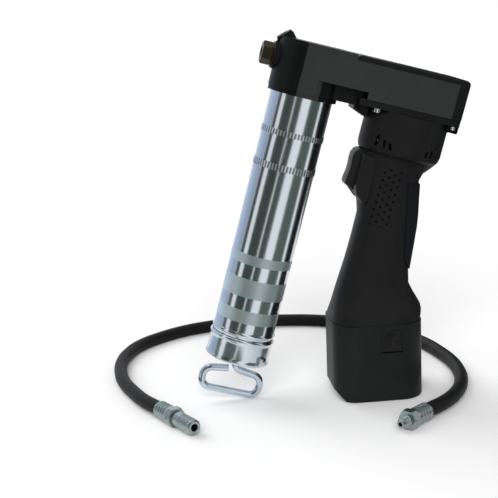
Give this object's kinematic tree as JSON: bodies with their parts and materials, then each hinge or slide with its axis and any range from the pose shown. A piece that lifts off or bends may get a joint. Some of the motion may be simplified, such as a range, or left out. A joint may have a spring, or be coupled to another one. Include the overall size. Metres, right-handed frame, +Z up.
{
  "type": "cordless grease applicator",
  "caption": "Battery-driven pistol-grip grease gun with bright steel grease barrel, pull rod with loop handle, and its detached delivery hose.",
  "frame": {"origin": "centre of the battery's flat base, on the floor", "axes": "+Z up, +X to the rear of the gun, -Y towards the side with the flush seam and no screws"},
  "size_m": [0.341, 0.3594, 0.3421],
  "materials": {
    "head_paint": "satin",
    "cover_paint": "satin",
    "dark_steel": "black oxide",
    "copper_washer": "dull",
    "bright_steel": "ground",
    "zinc_screws": "bright zinc",
    "black_rubber": "matte",
    "bright_zinc": "bright zinc plate",
    "rod_bush_nylon": "matte",
    "handle_plastic": "fine texture",
    "trigger_plastic": "satin",
    "grip_rubber": "matte",
    "switch_plastic": "matte",
    "motor_steel": "rolled",
    "ferrite": "matte",
    "rotor_copper": "enamelled",
    "bronze": "machined",
    "battery_plastic": "satin",
    "button_plastic": "satin",
    "cell_sleeve": "shrink film",
    "contact_brass": "bright",
    "hose_rubber": "cloth marked",
    "fitting_zinc": "dull zinc"
  },
  "bodies": {
    "gun": {"gear_case": "head_paint", "gear_cover": "cover_paint", "mounting_flange": "cover_paint", "outlet_fitting": "dark_steel", "relief_plug": "dark_steel", "cover_screws": "dark_steel", "handle_screws": "dark_steel", "outlet_washer": "copper_washer", "valve_spring": "bright_steel", "valve_stop": "bright_steel", "plunger_spring": "bright_steel", "follower_spring": "bright_steel", "idler_pin": "bright_steel", "trigger_spring": "bright_steel", "flange_screws": "zinc_screws", "barrel_seal": "black_rubber", "barrel_tube": "bright_zinc", "end_cap": "bright_zinc", "rod_bush": "rod_bush_nylon", "handle_near_half": "handle_plastic", "handle_far_half": "handle_plastic", "grip_backstrap": "grip_rubber", "switch_module": "switch_plastic", "contact_block": "switch_plastic", "motor_can": "motor_steel", "motor_magnets": "ferrite", "lower_bush": "bronze", "upper_bush": "bronze", "hose": "hose_rubber", "hose_ferrule_inlet": "fitting_zinc", "hose_nipple": "fitting_zinc", "hose_ferrule_outlet": "fitting_zinc", "hose_coupler": "fitting_zinc"},
    "trigger": {"trigger": "trigger_plastic"},
    "battery": {"battery_case": "battery_plastic", "battery_top": "battery_plastic", "battery_cells": "cell_sleeve", "battery_contacts": "contact_brass", "button_spring_near": "bright_steel", "button_spring_far": "bright_steel"},
    "button_near": {"release_button_near": "button_plastic"},
    "button_far": {"release_button_far": "button_plastic"},
    "follower": {"follower_seal": "black_rubber", "follower_plate": "bright_steel"},
    "rod": {"plunger_rod": "bright_zinc"},
    "rotor": {"motor_rotor": "rotor_copper", "motor_pinion": "bright_steel"},
    "idler": {"idler_gear": "bright_steel"},
    "crank": {"output_gear": "bright_steel", "crank_shaft": "bright_steel", "eccentric_ring": "bright_steel"},
    "plunger": {"pump_plunger": "bright_steel"},
    "ball": {"check_ball": "bright_steel"}
  },
  "joints": [
    {"name": "trigger_press", "type": "slide", "parent": "gun", "child": "trigger", "axis": [0.9613, 0, -0.2756], "range_m": [0, 0.006], "stiffness_N_per_m": 900, "deforming": ["trigger_spring"]},
    {"name": "battery_slide", "type": "slide", "parent": "gun", "child": "battery", "axis": [0, 0, -1], "range_m": [0, 0.07]},
    {"name": "release_button_near_press", "type": "slide", "parent": "battery", "child": "button_near", "axis": [0, 1, 0], "range_m": [0, 0.003], "stiffness_N_per_m": 1200, "deforming": ["button_spring_near"]},
    {"name": "release_button_far_press", "type": "slide", "parent": "battery", "child": "button_far", "axis": [0, -1, 0], "range_m": [0, 0.003], "stiffness_N_per_m": 1200, "deforming": ["button_spring_far"]},
    {"name": "follower_slide", "type": "slide", "parent": "gun", "child": "follower", "axis": [-0.2756, 0, -0.9613], "range_m": [0, 0.165], "stiffness_N_per_m": 60, "springref_m": -0.3, "deforming": ["follower_spring"]},
    {"name": "rod_turn", "type": "hinge", "parent": "follower", "child": "rod", "pos_m": [-0.11513, 0, 0.09414], "axis": [0.2756, 0, 0.9613], "continuous": true},
    {"name": "motor_spin", "type": "hinge", "parent": "gun", "child": "rotor", "pos_m": [0.03564, 0, 0.25896], "axis": [0.2756, 0, 0.9613], "continuous": true},
    {"name": "idler_spin", "type": "hinge", "parent": "gun", "child": "idler", "pos_m": [0.01161, 0, 0.26586], "axis": [0.2756, 0, 0.9613], "continuous": true},
    {"name": "output_spin", "type": "hinge", "parent": "gun", "child": "crank", "pos_m": [-0.01242, 0, 0.27275], "axis": [0.2756, 0, 0.9613], "continuous": true},
    {"name": "plunger_stroke", "type": "slide", "parent": "gun", "child": "plunger", "axis": [0.9613, 0, -0.2756], "range_m": [0, 0.008], "stiffness_N_per_m": 400, "springref_m": 0.012, "deforming": ["plunger_spring"]},
    {"name": "check_ball_lift", "type": "slide", "parent": "gun", "child": "ball", "axis": [-0.9613, 0, 0.2756], "range_m": [0, 0.0015], "stiffness_N_per_m": 150, "deforming": ["valve_spring"]}
  ],
  "couplings": [
    {"joint": "idler_spin", "follows": "motor_spin", "ratio": -0.31579},
    {"joint": "output_spin", "follows": "motor_spin", "ratio": 0.12281}
  ]
}
